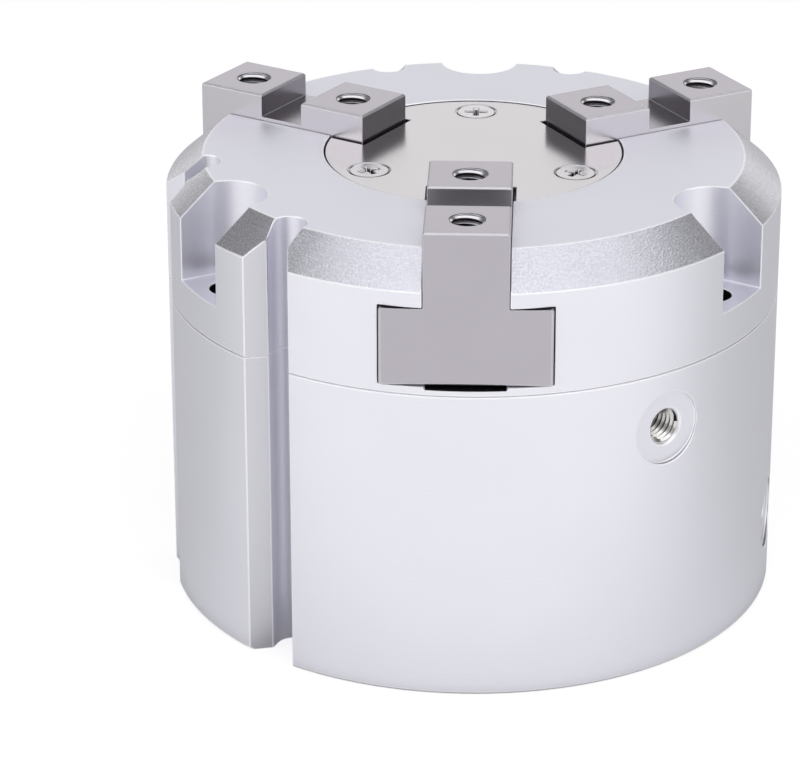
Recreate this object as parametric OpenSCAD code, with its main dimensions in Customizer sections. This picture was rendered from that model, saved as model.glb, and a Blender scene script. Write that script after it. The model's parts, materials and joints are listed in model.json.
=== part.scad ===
// Three jaw concentric pneumatic gripper.
// A double acting piston lifts a wedge cam; three T-rails on the cam draw three T-footed jaws
// along radial guides. Drawn with the piston down and the jaws closed.
// +Z up, origin at the centre of the bottom mounting face.

/* [Body] */
// Wall between the cylinder bore and the outside diameter
body_wall = 11.5; // [10.5:0.5:13]
// Height of the guide half, split line to top face
guide_h = 19; // [17.5:0.1:21]
// Thickness of the partition between the cylinder and the guide half
partition_h = 7.2; // [6.6:0.1:8]
// Width of the top rim chamfer, along the radius
rim_w = 5.25; // [3:0.25:6]
// Height of the top rim chamfer
rim_h = 4.5; // [3:0.25:5.5]
// Broken edge on the bottom rim and on both sides of the split line
edge_break = 0.15; // [0.1:0.05:0.5]

/* [Mounting] */
// Distance of the three mounting holes' centres from the outside diameter
mount_inset = 5; // [4.5:0.1:5.5]
// Mounting hole, M5 clearance
mount_hole_d = 5.5; // [5.3:0.1:5.8]
// Width of the bolt pockets in the rim
pocket_w = 11; // [9:0.5:12]
// Height of the bolt pocket floor above the split line
pocket_rise = 5.4; // [4:0.1:10]
// Locating pin hole in the bottom face
pin_hole_d = 5; // [3:0.5:6]
// Depth of the locating pin hole
pin_hole_depth = 8; // [4:0.5:12]

/* [Sensor grooves] */
// Width of the switch grooves
groove_w = 5; // [4:0.1:5.4]
// Depth of the centre of the groove's round bottom below the outside diameter
groove_depth = 7; // [6:0.1:7.4]
// Sideways offset of the groove from the gripper axis
groove_offset = 11.6; // [10.5:0.1:12.5]
// Angle between the groove and the middle of its bolt pocket
groove_angle = 38.7; // [38:0.1:40]
// Depth of the lead-in flat below the outside diameter
flat_depth = 3.65; // [3.2:0.05:4]
// How much deeper the flat lies at the groove than at its outer edge
flat_fall = 0.95; // [0:0.05:1.2]

/* [Air ports] */
// Angle between each port and the middle of the bolt pocket between them
port_angle = 21; // [19:0.5:24]
// Diameter of the flat around each port
port_face_d = 10.4; // [9:0.2:11]
// Depth of that flat below the outside diameter
port_face_depth = 0.65; // [0.5:0.05:1]
// Tap drill of the M5 port thread
port_d = 4.2; // [4:0.1:4.6]
// Depth of the port thread
port_depth = 7.5; // [5:0.5:8]
// Air passage from the port to the cylinder
passage_d = 2.4; // [1.5:0.1:2.4]

/* [Jaws] */
// Width of the jaw's neck
jaw_w = 11.4; // [10:0.1:11.8]
// Distance of the closed jaw's outer face from the outside diameter
jaw_inset = 0.8; // [0.3:0.1:2]
// Inner face of the closed jaw, from the gripper axis
jaw_r = 14.8; // [14.7:0.1:15.6]
// Height of the jaw above the body
jaw_rise = 3.8; // [3:0.1:6]
// Width of the T-shaped foot
foot_w = 23; // [21:0.1:23]
// Height of the foot
foot_h = 10.9; // [10:0.1:11]
// Thickness of the body under the foot's slot
slot_floor = 1.2; // [1:0.1:1.4]
// Depth of the relief below the neck in the slot floor
relief = 0.4; // [0.3:0.1:0.8]
// Width of that relief
relief_w = 11; // [10:0.1:11.4]
// Width of the cross keyway between the two jaw holes
key_w = 6.7; // [5:0.1:7]
// Depth of the cross keyway
key_depth = 3.3; // [2:0.1:4]
// Pitch of the two jaw holes
jaw_pitch = 17; // [16:0.1:18]
// Tap drill of the M5 jaw holes
jaw_hole_d = 4.2; // [3.3:0.1:4.4]
// Depth of the jaw holes
jaw_hole_depth = 9; // [6:0.5:9]
// Bevel on the jaw's edges
jaw_bevel = 0.25; // [0.1:0.05:0.4]
// Running gap on each side of the neck
neck_gap = 0.22; // [0.1:0.02:0.3]
// Running gap on each side of the foot
foot_gap = 0.3; // [0.1:0.05:0.4]
// Running gap above the foot
roof_gap = 0.2; // [0.1:0.05:0.3]
// Running gap below the foot
floor_gap = 0.1; // [0.05:0.05:0.2]
// Opening travel of each jaw
jaw_travel = 8; // [6:0.5:8]

/* [Wedge cam] */
// Radius of the wedge face at the cam's top
cam_r = 9.5; // [9:0.1:10]
// Radius of the cam's hub
hub_r = 9; // [8:0.1:9.2]
// Height of the cam
cam_h = 9.8; // [9.4:0.1:10.2]
// Width of the cam's three arms
arm_w = 11.2; // [10:0.1:11.2]
// Width of the T-rail's stem
stem_w = 4.4; // [3.5:0.1:5]
// Thickness of the T-rail's stem, square to the wedge face
stem_t = 2.4; // [2:0.1:3]
// Width of the T-rail's head
head_w = 8; // [7:0.1:8.4]
// Thickness of the T-rail's head
head_t = 2.6; // [2:0.1:3]
// Running gap all round the T-rail
rail_gap = 0.1; // [0.05:0.01:0.15]

/* [Cover plate] */
// Diameter of the cover plate
plate_d = 41.7; // [40:0.1:44]
// Thickness of the cover plate
plate_t = 2.4; // [2:0.1:3]
// Depth of the plate's face below the body's top face
plate_sink = 0.2; // [0:0.05:0.5]
// Gap between the plate and the closed jaws' ends
notch_end_gap = 0.6; // [0.4:0.1:1]
// Gap between the plate and the jaws' sides
notch_side_gap = 0.45; // [0.3:0.05:1]
// Radius at which the plate's screws sit
plate_screw_r = 16.4; // [16:0.1:17]

/* [Cylinder] */
// Cylinder bore
bore_d = 63; // [62:0.5:63.5]
// Travel of the piston
piston_stroke = 10; // [9.5:0.1:10.2]
// Lands of the piston above, below and between its rings
piston_land_h = 1.2; // [1:0.1:2]
// Diameter of the piston rod
rod_d = 16; // [15:0.5:17]
// Radius of the seal boss below the partition
boss_r = 15; // [14:0.5:15.5]
// Length of the seal boss
boss_h = 5; // [4.8:0.1:5.4]
// Radial depth of the rod seal's groove
rod_seal_w = 3.5; // [3:0.1:4]
// Height of the rod seal's groove
rod_seal_h = 3; // [2.5:0.1:3]
// Wall of the rod's bush
bush_t = 1.5; // [1:0.1:2]

/* [Piston rings] */
// Radial depth of the piston seal's groove
piston_seal_w = 4.6; // [4:0.1:5]
// Height of the piston seal's groove
piston_seal_h = 4.4; // [4:0.1:4.6]
// Radial depth of the magnet's groove
magnet_w = 4.2; // [3.5:0.1:5]
// Height of the magnet's groove
magnet_h = 3.2; // [2.5:0.1:3.4]
// Radial depth of the wear ring's groove
wear_w = 1.7; // [1.2:0.1:2.5]
// Height of the wear ring's groove
wear_h = 2.6; // [2:0.1:2.8]

/* [End cap] */
// Height of the bore's mouth below the retaining ring
ring_land = 1.2; // [1:0.1:1.4]
// Thickness of the retaining ring
ring_t = 1.5; // [1.2:0.1:1.6]
// Depth of the retaining ring's groove
ring_depth = 1.5; // [1:0.1:1.7]
// Radial width of the retaining ring
ring_w = 3; // [2.5:0.1:4]
// Thickness of the cap's flange
cap_flange_t = 4.2; // [4:0.1:4.6]
// Height of the cap's narrower step
cap_step_t = 3.2; // [2.8:0.1:3.4]
// Air gap between the step and the bore
cap_step_gap = 4.5; // [3:0.1:6]
// Section diameter of the cap's O-ring
cap_ring_d = 1.8; // [1.5:0.1:2]
// How far the rubber stops stand out of the cap and the partition
bumper_proud = 0.7; // [0.5:0.05:0.8]

/* [Fasteners] */
// Distance of the body screws' centres from the wall of the bore
body_screw_inset = 5.4; // [5:0.1:6]
// Angle of the body screws from the middle of their bolt pocket
body_screw_angle = 18; // [16:0.5:19]
// Tap drill of the M5 body screws
body_tap_d = 4.2; // [4:0.1:4.4]
// Distance of the dowel pins' centres from the wall of the bore
dowel_inset = 5.5; // [4:0.1:7]
// Diameter of the dowel pins
dowel_d = 4; // [3:0.5:4.5]
// Tap drill of the M3 plate screws
plate_tap_d = 2.5; // [2.4:0.1:2.6]
// Head diameter of the plate screws
plate_head_d = 6; // [5.4:0.1:6.2]

/* [Hidden] */
$fn = 96;

// Small allowances
fit = 0.02;          // between pieces that sit in each other and stay put
slip = 0.05;         // radial running clearance in the bore and on the rod
stop_gap = 0.1;      // between the piston and the rubber stops at each end of its travel
cam_gap = 0.4;       // round the cam where it sinks into the body
cam_floor_gap = 0.3; // below the cam at the bottom of its travel
tap_run = 1;         // from the end of a screw to the end of its hole
cut = 1;             // how far cutting shapes run past a face

// Azimuths: jaws, and the bolt pockets half way between them
jaw_angles = [-90, 30, 150];
pocket_angles = [-30, 90, 210];
groove_pockets = [90, 210];
dowel_pockets = [-30, 90];
port_pocket = -30;

// Radii
bore_r = bore_d / 2;
body_r = bore_r + body_wall;
cap_r = bore_r - slip;
piston_r = bore_r - 2 * slip;
rod_r = rod_d / 2;
plate_r = plate_d / 2;
mount_r = body_r - mount_inset;
body_screw_r = bore_r - body_screw_inset;
dowel_r = bore_r - dowel_inset;

// Step at the top of the piston
piston_nose_h = 0.2;
piston_nose_w = 1.4;

// Heights, from the mounting face upwards
ring_z = ring_land + slip;
cap_z = ring_z + ring_t + slip;
cap_flange_z = cap_z + cap_flange_t;
cap_top_z = cap_flange_z + cap_step_t;
piston_z = cap_top_z + bumper_proud + stop_gap;
piston_h = wear_h + magnet_h + piston_seal_h + 4 * piston_land_h + piston_nose_h;
piston_top_z = piston_z + piston_h;
chamber_z = piston_top_z + piston_stroke + stop_gap + bumper_proud;
boss_z = chamber_z - boss_h;
recess_z = boss_z - piston_stroke - 4 * stop_gap;
split_z = chamber_z + partition_h;
pocket_z = split_z + pocket_rise;
body_h = split_z + guide_h;

// Air ports
port_chamfer = 0.6;
low_port_rise = 4.3;                          // above the cap's flange
low_passage_rise = 2.6;
high_port_drop = 1.0;                         // below the top of the cylinder
low_port_z = cap_flange_z + low_port_rise;
low_passage_z = cap_flange_z + low_passage_rise;
high_port_z = chamber_z - high_port_drop;
high_passage_z = chamber_z - passage_d / 2 - stop_gap;

// Jaw guide
slot_z = split_z + slot_floor;
foot_z = slot_z + floor_gap;
foot_top_z = foot_z + foot_h;
roof_z = foot_top_z + roof_gap;
neck_slot_w = jaw_w + 2 * neck_gap;
foot_slot_w = foot_w + 2 * foot_gap;

// Cover plate
plate_top_z = body_h - plate_sink;
plate_z = plate_top_z - plate_t;
under_plate_z = plate_z - 2 * roof_gap;

// Wedge: the face leans in by jaw_travel over piston_stroke of height
lean = jaw_travel / piston_stroke;
level = sqrt(1 + lean * lean);                // level distance across a unit of thickness
cam_top_z = plate_z - roof_gap - piston_stroke;
cam_z = cam_top_z - cam_h;
cam_pocket_z = cam_z - cam_floor_gap;
rail_t = stem_t + head_t;

// Jaws
jaw_top_z = body_h + jaw_rise;
key_z = jaw_top_z - key_depth;
jaw_end = body_r - jaw_inset;
jaw_mid = (jaw_r + jaw_end) / 2;
jaw_hole_chamfer = 0.4;
tip_r = 4;                                    // inner tips of the closed jaws
tip_gap = 0.4;                                // from a closed jaw to the middle between two jaws

// Rod and its two M6 screws
m6_r = 2.5;
m6_hole_r = 3.2;
m6_head_r = 5;
m6_head_h = 6;
m6_flat_head_r = 5.9;
m6_flat_head_h = 3.3;
m6_key_w = 5;
m6_flat_key_w = 4;
m6_flat_key_h = 2.2;
spigot_r = 5.5;
spigot_h = 4.2;
spigot_z = recess_z - spigot_h;
spigot_groove_w = 1.1;
spigot_groove_h = 1.6;
spigot_ring_d = 1;
cam_spigot_r = 5;
cam_spigot_h = 1.7;
cam_seat_z = cam_top_z - m6_head_h - roof_gap;
cam_bolt_grip = 9;                            // length of the cam bolt in the rod
piston_screw_len = 13;

// Rod seal and bush, in the boss and the partition
recess_gap = 0.6;                             // from the boss to the piston's recess
rod_relief = 0.3;
rod_seal_land_h = 1;
bush_land_h = 0.4;
rod_seal_z = boss_z + rod_seal_land_h;
bush_z = rod_seal_z + rod_seal_h + bush_land_h;
bush_r = rod_r + slip + bush_t;

// Rubber stops
upper_stop_r = boss_r + recess_gap;
upper_stop_w = 2;
lower_stop_inset = 12.5;
lower_stop_r = bore_r - lower_stop_inset;
lower_stop_w = 5;

// End cap and retaining ring
cap_groove_gap = 0.2;
cap_groove_h = cap_ring_d + 2 * cap_groove_gap;
dish_inset = 10.5;
dish_r = bore_r - dish_inset;
dish_h = 2.2;
ring_half_gap = 20;                           // half angle of the retaining ring's opening
lug_angle = 24;
lug_r = 2.4;
lug_hole_r = 1;

// Piston rings, each above the other
seal_lip_w = 1.2;
wear_z = piston_z + piston_land_h;
magnet_z = wear_z + wear_h + piston_land_h;
seal_z = magnet_z + magnet_h + piston_land_h;
piston_land_z = seal_z + piston_seal_h + piston_land_h;

// Body screws, M5 countersunk, put in from the cylinder side
m5_hole_r = 2.75;
m5_head_r = 4.8;
m5_head_end_r = 2.3;
m5_head_h = 2.6;
m5_key_w = 3;
m5_key_h = 1.8;
body_screw_len = 16;
screw_ring_r = 4.1;
screw_ring_d = 1.1;
screw_groove_h = 1.2;
dowel_h = 6;                                  // depth of a dowel in each body half

// Plate screws, M3 countersunk
m3_hole_r = 1.7;
plate_head_h = plate_head_d / 4;
plate_screw_len = 5;                          // length below the plate
cross_l = 3.4;
cross_w = 0.8;
cross_h = 1.2;

// ------------------------------------------------------------------ helpers

// Places its children at each of the given azimuths, pointing outwards along +X
module around(angles) {
    for (a = angles) rotate([0, 0, a]) children();
}

// A ring of rectangular section
module ring(r_in, r_out, h) {
    difference() {
        cylinder(r = r_out, h = h);
        translate([0, 0, -cut]) cylinder(r = r_in, h = h + 2 * cut);
    }
}

// An O-ring lying flat, by the radius of its middle circle
module o_ring(r, d) {
    rotate_extrude() translate([r, 0]) circle(d = d, $fn = 32);
}

// A hexagon socket, by its width across flats
module hex(w, h) {
    cylinder(d = w / cos(30), h = h, $fn = 6);
}

// A side-view outline (x outwards, y up), w wide and centred on the X axis
module slab(w) {
    rotate([90, 0, 0]) translate([0, 0, -w / 2]) linear_extrude(w) children();
}

// Wedge face of the cam at height z, and the same face moved out by t square to itself
function wedge_x(z, t = 0) = cam_r + lean * (cam_top_z - z) + t * level;

// The layer of the wedge between thicknesses t0 and t1, from height z0 to z1
module wedge_layer(t0, t1, z0, z1, w) {
    slab(w) polygon([
        [wedge_x(z0, t0), z0],
        [wedge_x(z0, t1), z0],
        [wedge_x(z1, t1), z1],
        [wedge_x(z1, t0), z1]]);
}

// Outline of a solid of revolution with both rims broken
module rim_outline(z0, z1, low_w, low_h, high_w, high_h) {
    polygon([
        [0, z0],
        [body_r - low_w, z0],
        [body_r, z0 + low_h],
        [body_r, z1 - high_h],
        [body_r - high_w, z1],
        [0, z1]]);
}

// Places its children on the axes of the six body screws
module at_body_screws() {
    around(pocket_angles)
        for (s = [-1, 1]) rotate([0, 0, s * body_screw_angle])
            translate([body_screw_r, 0, 0]) children();
}

// Places its children on the axes of the two dowel pins
module at_dowels() {
    around(dowel_pockets) translate([dowel_r, 0, 0]) children();
}

// ------------------------------------------------------------------ body halves

// Switch groove, with its lead-in flat on the pocket's side; side is 1 or -1
module sensor_groove(side) {
    w = groove_w / 2;
    bottom_x = body_r - groove_depth;
    flat_x = body_r - flat_depth;
    flat_w = sqrt(body_r * body_r - flat_x * flat_x) - groove_offset - w;
    lip_x = flat_x - flat_fall;
    fall = flat_fall / flat_w;
    rotate([0, 0, side * groove_angle]) mirror([0, side > 0 ? 0 : 1, 0]) translate([0, -groove_offset]) {
        translate([bottom_x, 0]) circle(r = w, $fn = 48);
        translate([bottom_x, -w]) square([body_r, groove_w]);
        polygon([
            [lip_x, -w + slip],
            [lip_x, -w],
            [flat_x + fall * body_r, -w - flat_w - body_r],
            [2 * body_r, -w - flat_w - body_r],
            [2 * body_r, -w + slip]]);
    }
}

// What both body halves have in common: mounting holes and switch grooves
module through_cuts(z0, z1) {
    h = z1 - z0 + 2 * cut;
    translate([0, 0, z0 - cut]) {
        around(pocket_angles) translate([mount_r, 0, 0]) cylinder(d = mount_hole_d, h = h);
        around(groove_pockets) linear_extrude(h) for (side = [-1, 1]) sensor_groove(side);
    }
}

// Three-armed pocket that lets the cam sink through the slot floors into the partition
module cam_pocket(h) {
    arm_l = wedge_x(cam_z, rail_t) + cam_gap;
    w = arm_w + 2 * cam_gap;
    cylinder(r = hub_r + cam_gap, h = h);
    around(jaw_angles) translate([0, -w / 2, 0]) cube([arm_l, w, h]);
}

// T-slot of one jaw, with the relief below the neck
module jaw_slot() {
    translate([0, -relief_w / 2, slot_z - relief]) cube([body_r + cut, relief_w, foot_h]);
    translate([0, -neck_slot_w / 2, slot_z]) cube([body_r + cut, neck_slot_w, body_h]);
    translate([0, -foot_slot_w / 2, slot_z]) cube([body_r + cut, foot_slot_w, roof_z - slot_z]);
}

// Pocket in the rim that takes a mounting screw's head
module bolt_pocket() {
    linear_extrude(body_h) {
        circle(d = pocket_w);
        translate([0, -pocket_w / 2]) square([body_r, pocket_w]);
    }
}

// Guide half of the body: three T-slots, bolt pockets in the rim, seat for the cover plate
module upper_body() {
    tap_top_z = chamber_z + body_screw_len + tap_run;
    color("gainsboro") difference() {
        rotate_extrude() rim_outline(split_z, body_h, edge_break, edge_break, rim_w, rim_h);
        around(jaw_angles) jaw_slot();
        translate([0, 0, split_z]) cylinder(r = hub_r + cam_gap, h = body_h);
        translate([0, 0, split_z - cut]) cam_pocket(slot_floor + 2 * cut);
        translate([0, 0, plate_z]) cylinder(r = plate_r + 2 * slip, h = body_h);
        around(pocket_angles) {
            translate([mount_r, 0, pocket_z]) bolt_pocket();
            translate([plate_screw_r, 0, plate_z - plate_screw_len - tap_run])
                cylinder(d = plate_tap_d, h = body_h);
        }
        through_cuts(split_z, body_h);
        at_body_screws() translate([0, 0, split_z - cut])
            cylinder(d = body_tap_d, h = tap_top_z - split_z + cut);
        at_dowels() translate([0, 0, split_z - cut]) cylinder(r = dowel_d / 2 + fit, h = dowel_h + fit + cut);
    }
}

// Cylinder bore with the grooves for the retaining ring and the upper stop; the seal boss stands
module cylinder_bore() {
    difference() {
        translate([0, 0, -cut]) cylinder(r = bore_r, h = chamber_z + cut);
        translate([0, 0, boss_z]) cylinder(r = boss_r, h = boss_h + cut);
    }
    translate([0, 0, ring_land]) cylinder(r = bore_r + ring_depth, h = ring_t + 2 * slip);
    translate([0, 0, chamber_z - cut]) ring(upper_stop_r, upper_stop_r + upper_stop_w, cut + bumper_proud);
}

// Stepped bore for the rod, its seal and its bush
module rod_bore() {
    translate([0, 0, boss_z - cut]) cylinder(r = rod_r + rod_relief, h = split_z);
    translate([0, 0, rod_seal_z]) cylinder(r = rod_r + rod_seal_w, h = rod_seal_h);
    translate([0, 0, bush_z]) cylinder(r = bush_r, h = split_z);
}

// Countersunk hole of one body screw, with the ring's groove at the split line
module body_screw_hole() {
    translate([0, 0, chamber_z - cut]) cylinder(r = m5_hole_r, h = split_z);
    translate([0, 0, chamber_z - fit]) cylinder(r1 = m5_head_r + 4 * slip, r2 = m5_hole_r, h = m5_head_h);
    translate([0, 0, split_z - screw_groove_h])
        cylinder(r = screw_ring_r + screw_ring_d / 2 + 2 * slip, h = screw_groove_h + cut);
}

// Air port at height z, with its passage into the cylinder at height pz
module port(z, pz) {
    face_r = body_r - port_face_depth;
    thread_r = face_r - port_depth;
    translate([0, 0, z]) rotate([0, 90, 0]) {
        translate([0, 0, face_r]) cylinder(d = port_face_d, h = body_r);
        translate([0, 0, thread_r]) cylinder(d = port_d, h = body_r);
        translate([0, 0, face_r - port_chamfer])
            cylinder(d1 = port_d, d2 = port_d + 2 * (port_chamfer + fit), h = port_chamfer + fit);
    }
    translate([0, 0, pz]) rotate([0, 90, 0]) translate([0, 0, bore_r - cut])
        cylinder(d = passage_d, h = thread_r - bore_r + 2 * cut);
}

// Cylinder half of the body: bore open at the bottom, partition with the rod's seal boss on top
module lower_body() {
    color("gainsboro") difference() {
        rotate_extrude() rim_outline(0, split_z, 3 * edge_break, 3 * edge_break, edge_break, edge_break);
        cylinder_bore();
        rod_bore();
        translate([0, 0, cam_pocket_z]) cam_pocket(split_z);
        through_cuts(0, split_z);
        at_body_screws() body_screw_hole();
        at_dowels() translate([0, 0, split_z - dowel_h - fit]) cylinder(r = dowel_d / 2 + fit, h = split_z);
        rotate([0, 0, port_pocket - port_angle]) port(high_port_z, high_passage_z);
        rotate([0, 0, port_pocket + port_angle]) port(low_port_z, low_passage_z);
        rotate([0, 0, jaw_angles[1]]) translate([mount_r, 0, -cut])
            cylinder(d = pin_hole_d, h = pin_hole_depth + cut);
    }
}

// ------------------------------------------------------------------ fasteners and fixed seals

// Cover plate with a notch for each jaw
module cover_plate() {
    notch_r = jaw_r - notch_end_gap;
    notch_w = jaw_w + 2 * notch_side_gap;
    color("lightgray") difference() {
        translate([0, 0, plate_z]) cylinder(r = plate_r, h = plate_t);
        around(jaw_angles) translate([notch_r, -notch_w / 2, plate_z - cut])
            cube([plate_r, notch_w, plate_t + 2 * cut]);
        around(pocket_angles) translate([plate_screw_r, 0, 0]) {
            translate([0, 0, plate_z - cut]) cylinder(r = m3_hole_r, h = plate_t + 2 * cut);
            translate([0, 0, plate_top_z + fit - plate_head_h])
                cylinder(d1 = plate_head_d / 2, d2 = plate_head_d, h = plate_head_h);
        }
    }
}

// Cross-recessed countersunk screws of the cover plate
module plate_screws() {
    head_d = plate_head_d - 4 * slip;
    shank_h = plate_t + plate_screw_len - plate_head_h / 2;
    color("silver") around(pocket_angles) translate([plate_screw_r, 0, plate_top_z - slip]) difference() {
        union() {
            translate([0, 0, -plate_head_h])
                cylinder(d1 = head_d - plate_head_d / 2, d2 = head_d, h = plate_head_h);
            translate([0, 0, -plate_t - plate_screw_len]) cylinder(r = plate_tap_d / 2 - fit, h = shank_h);
        }
        for (a = [0, 90]) rotate([0, 0, a]) translate([-cross_l / 2, -cross_w / 2, -cross_h])
            cube([cross_l, cross_w, cross_h + cut]);
    }
}

// Countersunk screws that hold the two halves together
module body_screws() {
    color("dimgray") at_body_screws() translate([0, 0, chamber_z + slip]) difference() {
        union() {
            cylinder(r1 = m5_head_r, r2 = m5_head_end_r, h = m5_head_h);
            cylinder(r = body_tap_d / 2 - fit, h = body_screw_len);
        }
        translate([0, 0, -cut]) hex(m5_key_w, m5_key_h + cut);
    }
}

// Rings that seal the screw holes at the split line
module screw_o_rings() {
    color("black") at_body_screws() translate([0, 0, split_z - screw_groove_h / 2])
        o_ring(screw_ring_r, screw_ring_d);
}

// Pins that line the two halves up
module dowel_pins() {
    color("silver") at_dowels() translate([0, 0, split_z - dowel_h]) cylinder(d = dowel_d, h = 2 * dowel_h);
}

// Plain bush that guides the rod
module rod_bush() {
    color("peru") translate([0, 0, bush_z + fit])
        ring(rod_r + slip, bush_r - fit, cam_pocket_z - bush_z - fit);
}

// Lip seal on the rod
module rod_seal() {
    r_in = rod_r + slip;
    r_out = rod_r + rod_seal_w - fit;
    mid = (r_in + r_out) / 2;
    v = 0.4;
    lip_t = 0.3;
    h = rod_seal_h - 2 * fit;
    color("black") translate([0, 0, rod_seal_z + fit]) rotate_extrude() polygon([
        [r_in, 0],
        [mid - v, 0],
        [mid, h / 3],
        [mid + v, 0],
        [r_out, 0],
        [r_out - lip_t, h],
        [r_in + lip_t, h],
        [r_in + lip_t, h / 3]]);
}

// Rubber stop under the partition
module upper_bumper() {
    color("black") translate([0, 0, chamber_z - bumper_proud])
        ring(upper_stop_r + fit, upper_stop_r + upper_stop_w - fit, 2 * bumper_proud);
}

// ------------------------------------------------------------------ end cap

// Cap that closes the cylinder, with a dished outer face
module end_cap() {
    color("gainsboro") difference() {
        union() {
            translate([0, 0, cap_z]) cylinder(r = cap_r, h = cap_flange_t);
            translate([0, 0, cap_z]) cylinder(r = bore_r - cap_step_gap, h = cap_top_z - cap_z);
        }
        translate([0, 0, cap_z + (cap_flange_t - cap_groove_h) / 2])
            ring(cap_r - cap_ring_d, body_r, cap_groove_h);
        translate([0, 0, cap_top_z - bumper_proud])
            ring(lower_stop_r, lower_stop_r + lower_stop_w, bumper_proud + cut);
        translate([0, 0, cap_z - cut]) cylinder(r1 = dish_r + cut, r2 = dish_r - dish_h, h = dish_h + cut);
    }
}

// Rubber stop on the end cap
module lower_bumper() {
    color("black") translate([0, 0, cap_top_z - bumper_proud + fit])
        ring(lower_stop_r + fit, lower_stop_r + lower_stop_w - fit, 2 * bumper_proud - fit);
}

// Static seal of the end cap
module cap_o_ring() {
    color("black") translate([0, 0, cap_z + cap_flange_t / 2])
        o_ring(cap_r - cap_ring_d / 2 + fit, cap_ring_d - 2 * fit);
}

// Internal retaining ring with plier holes in the lugs at its opening
module retaining_ring() {
    r_out = bore_r + ring_depth - slip;
    r_in = r_out - ring_w;
    mouth = body_r * tan(ring_half_gap);
    color("dimgray") translate([0, 0, ring_z]) rotate([0, 0, 90]) linear_extrude(ring_t) difference() {
        union() {
            difference() {
                circle(r = r_out);
                circle(r = r_in);
                polygon([[0, 0], [body_r, -mouth], [body_r, mouth]]);
            }
            around([-lug_angle, lug_angle]) translate([r_in, 0]) circle(r = lug_r);
        }
        around([-lug_angle, lug_angle]) translate([r_in, 0]) circle(r = lug_hole_r);
    }
}

// ------------------------------------------------------------------ piston group

// Piston with three ring grooves, a recess for the seal boss and a seat for the rod
module piston() {
    color("lightsteelblue") difference() {
        union() {
            translate([0, 0, piston_z]) cylinder(r = piston_r, h = piston_land_z - piston_z);
            translate([0, 0, piston_z]) cylinder(r = piston_r - piston_nose_w, h = piston_h);
        }
        translate([0, 0, recess_z]) cylinder(r = boss_r + recess_gap, h = piston_h);
        translate([0, 0, spigot_z]) cylinder(r = spigot_r + fit, h = piston_h);
        translate([0, 0, piston_z - cut]) cylinder(r = m6_hole_r, h = piston_h);
        translate([0, 0, piston_z - fit])
            cylinder(r1 = m6_flat_head_r + 3 * slip, r2 = m6_r + 3 * slip, h = m6_flat_head_h);
        translate([0, 0, wear_z]) ring(piston_r - wear_w, body_r, wear_h);
        translate([0, 0, magnet_z]) ring(piston_r - magnet_w, body_r, magnet_h);
        translate([0, 0, seal_z]) ring(piston_r - piston_seal_w, body_r, piston_seal_h);
    }
}

// Double-lip seal of the piston
module piston_seal() {
    r_in = piston_r - piston_seal_w + fit;
    r_out = bore_r - slip;
    r_neck = r_out - seal_lip_w;
    h = piston_seal_h - 2 * fit;
    color("black") translate([0, 0, seal_z + fit]) rotate_extrude() polygon([
        [r_in, 0],
        [r_neck, 0],
        [r_out, 0.2 * h],
        [r_out, 0.35 * h],
        [r_neck, 0.5 * h],
        [r_out, 0.65 * h],
        [r_out, 0.8 * h],
        [r_neck, h],
        [r_in, h]]);
}

// Magnet that the switches sense, set below the piston's running surface
module magnet_ring() {
    color("darkslategray") translate([0, 0, magnet_z + fit])
        ring(piston_r - magnet_w + fit, piston_r - 0.4, magnet_h - 2 * fit);
}

// Wear ring that carries the piston in the bore
module wear_ring() {
    color("tan") translate([0, 0, wear_z + fit])
        ring(piston_r - wear_w + fit, bore_r - slip, wear_h - 2 * fit);
}

// Rod, with a spigot into the piston and one into the cam
module piston_rod() {
    groove_z = (spigot_z + recess_z - spigot_groove_h) / 2;
    color("silver") difference() {
        union() {
            translate([0, 0, recess_z]) cylinder(r = rod_r, h = cam_z - recess_z);
            translate([0, 0, spigot_z + stop_gap]) cylinder(r = spigot_r, h = spigot_h);
            translate([0, 0, cam_z - cut]) cylinder(r = cam_spigot_r, h = cut + cam_spigot_h);
        }
        translate([0, 0, cam_z - cam_bolt_grip - tap_run]) cylinder(r = m6_r, h = body_h);
        translate([0, 0, piston_z]) cylinder(r = m6_r, h = piston_screw_len + tap_run);
        translate([0, 0, groove_z]) ring(spigot_r - spigot_groove_w, rod_r, spigot_groove_h);
    }
}

// Static seal between the rod's spigot and the piston
module rod_o_ring() {
    color("black") translate([0, 0, (spigot_z + recess_z) / 2])
        o_ring(spigot_r - spigot_ring_d / 2, spigot_ring_d);
}

// Countersunk screw that holds the piston on the rod
module piston_screw() {
    color("dimgray") translate([0, 0, piston_z]) difference() {
        union() {
            cylinder(r1 = m6_flat_head_r, r2 = m6_r, h = m6_flat_head_h);
            cylinder(r = m6_r - fit, h = piston_screw_len);
        }
        translate([0, 0, -cut]) hex(m6_flat_key_w, m6_flat_key_h + cut);
    }
}

// Wedge cam: a hub with three arms, each with an inclined T-rail
module wedge_cam() {
    color("darkgray") difference() {
        union() {
            translate([0, 0, cam_z]) cylinder(r = hub_r, h = cam_h);
            around(jaw_angles) {
                slab(arm_w) polygon([
                    [0, cam_z],
                    [wedge_x(cam_z), cam_z],
                    [wedge_x(cam_top_z), cam_top_z],
                    [0, cam_top_z]]);
                wedge_layer(-cut / 2, stem_t + fit, cam_z, cam_top_z, stem_w);
                wedge_layer(stem_t, rail_t, cam_z, cam_top_z, head_w);
            }
        }
        translate([0, 0, cam_z - cut]) cylinder(r = cam_spigot_r + fit, h = cut + cam_spigot_h + stop_gap);
        translate([0, 0, cam_z]) cylinder(r = m6_hole_r, h = cam_h);
        translate([0, 0, cam_seat_z]) cylinder(r = m6_head_r + cam_gap, h = cam_h);
    }
}

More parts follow.
